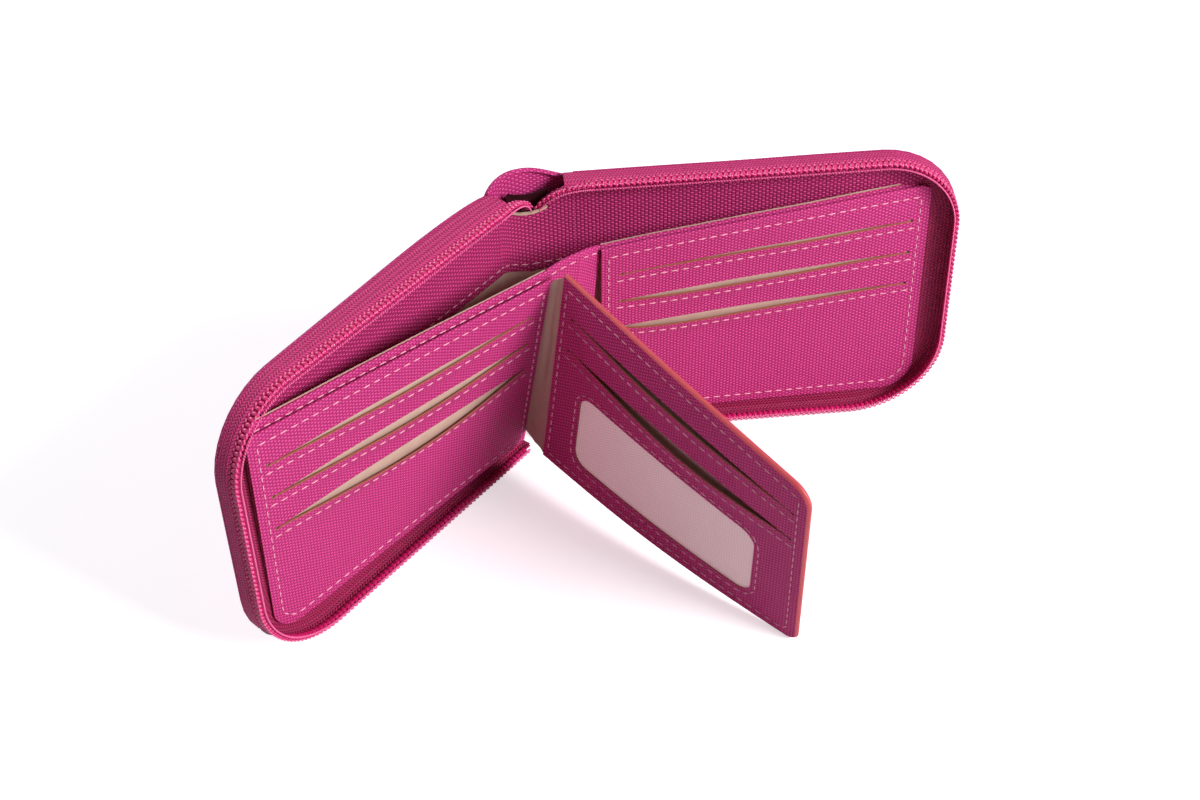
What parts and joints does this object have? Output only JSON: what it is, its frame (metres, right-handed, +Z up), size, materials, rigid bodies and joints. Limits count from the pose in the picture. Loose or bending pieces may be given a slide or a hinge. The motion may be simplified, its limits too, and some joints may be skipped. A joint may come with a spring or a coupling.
{
  "type": "zip-round bifold wallet",
  "caption": "Zip-round fabric bifold wallet standing open: two covers on a cloth spine, slotted card panels, bill divider and a swinging middle flap with a window.",
  "frame": {"origin": "middle of the spine cover's foot, in the surface the wallet stands on", "axes": "+Z up along the spine, -Y the way the halves open, +X towards the right half"},
  "size_m": [0.243, 0.1315, 0.1018],
  "materials": {
    "magenta_cloth": "coarse woven nylon",
    "magenta_facing": "coarse woven nylon",
    "zip_tape": "fine woven tape",
    "zip_coil": "satin",
    "beige_lining": "smooth lining",
    "window_mesh": "fine mesh",
    "coral_edge": "painted edge",
    "grey_board": "stiffening board",
    "painted_metal": "gloss paint"
  },
  "bodies": {
    "spine": {"spine_cover": "magenta_cloth", "spine_lining": "beige_lining", "spine_facing": "magenta_facing", "zip_slot_binding": "beige_lining"},
    "left_half": {"cover_left": "magenta_cloth", "board_left": "grey_board", "lining_left": "beige_lining", "facing_left": "magenta_facing", "zip_tape_left": "zip_tape", "zip_coil_left": "zip_coil"},
    "left_panel": {"bill_divider_left": "magenta_facing", "card_backing_left": "magenta_cloth", "card_pocket_1_left": "beige_lining", "card_pocket_2_left": "beige_lining", "card_pocket_3_left": "beige_lining", "card_face_left": "magenta_cloth", "flap_hinge_root": "beige_lining"},
    "left_strip": {"divider_strip_left": "magenta_facing"},
    "right_half": {"cover_right": "magenta_cloth", "board_right": "grey_board", "lining_right": "beige_lining", "facing_right": "magenta_facing", "zip_tape_right": "zip_tape", "zip_coil_right": "zip_coil"},
    "right_panel": {"bill_divider_right": "magenta_facing", "card_backing_right": "magenta_cloth", "card_pocket_1_right": "beige_lining", "card_pocket_2_right": "beige_lining", "card_pocket_3_right": "beige_lining", "card_face_right": "magenta_cloth"},
    "right_strip": {"divider_strip_right": "magenta_facing"},
    "flap": {"flap_face": "magenta_cloth", "flap_window": "window_mesh", "flap_pocket_1": "beige_lining", "flap_pocket_2": "beige_lining", "flap_back": "magenta_cloth", "flap_edge_trim": "coral_edge", "flap_hinge_strip": "beige_lining"},
    "slider": {"slider_body": "painted_metal"},
    "pull_tab": {"pull_tab": "painted_metal"}
  },
  "joints": [
    {"name": "left_fold", "type": "hinge", "parent": "spine", "child": "left_half", "pos_m": [-0.0105, -0.0041, 0], "axis": [0, 0, 1], "range_deg": [0, 66.3]},
    {"name": "right_fold", "type": "hinge", "parent": "spine", "child": "right_half", "pos_m": [0.0105, -0.0041, 0], "axis": [0, 0, 1], "range_deg": [-66.3, 0]},
    {"name": "left_panel_swing", "type": "hinge", "parent": "left_half", "child": "left_panel", "pos_m": [-0.11247, -0.05094, 0.0036], "axis": [-0.7038, -0.309, 0.6397], "range_deg": [0, 8.56]},
    {"name": "right_panel_swing", "type": "hinge", "parent": "right_half", "child": "right_panel", "pos_m": [0.11247, -0.05094, 0.0036], "axis": [-0.7038, 0.309, -0.6397], "range_deg": [0, 8.56]},
    {"name": "left_strip_fold", "type": "hinge", "parent": "left_panel", "child": "left_strip", "pos_m": [-0.01481, -0.01902, 0.00301], "axis": [0.041, -0.107, 0.9934], "range_deg": [-17, 0], "deforming": ["divider_strip_left"]},
    {"name": "right_strip_fold", "type": "hinge", "parent": "right_panel", "child": "right_strip", "pos_m": [0.01481, -0.01902, 0.00301], "axis": [-0.041, -0.107, 0.9934], "range_deg": [0, 17], "deforming": ["divider_strip_right"]},
    {"name": "flap_swing", "type": "hinge", "parent": "left_panel", "child": "flap", "pos_m": [-0.01189, -0.02198, 0.00257], "axis": [0.041, -0.107, 0.9934], "range_deg": [-94, 0]},
    {"name": "slider_slide", "type": "slide", "parent": "spine", "child": "slider", "axis": [0, -1, 0], "range_m": [0, 0.004]},
    {"name": "pull_tab_swing", "type": "hinge", "parent": "slider", "child": "pull_tab", "pos_m": [0, -0.0062, 0.0022], "axis": [1, 0, 0], "range_deg": [-4, 95]}
  ],
  "couplings": [
    {"joint": "right_fold", "follows": "left_fold", "ratio": -1},
    {"joint": "left_panel_swing", "follows": "left_fold", "ratio": 0.12911},
    {"joint": "right_panel_swing", "follows": "left_fold", "ratio": 0.12911},
    {"joint": "left_strip_fold", "follows": "left_fold", "ratio": -0.25641},
    {"joint": "right_strip_fold", "follows": "left_fold", "ratio": 0.25641},
    {"joint": "flap_swing", "follows": "left_fold", "ratio": -1.4178}
  ]
}
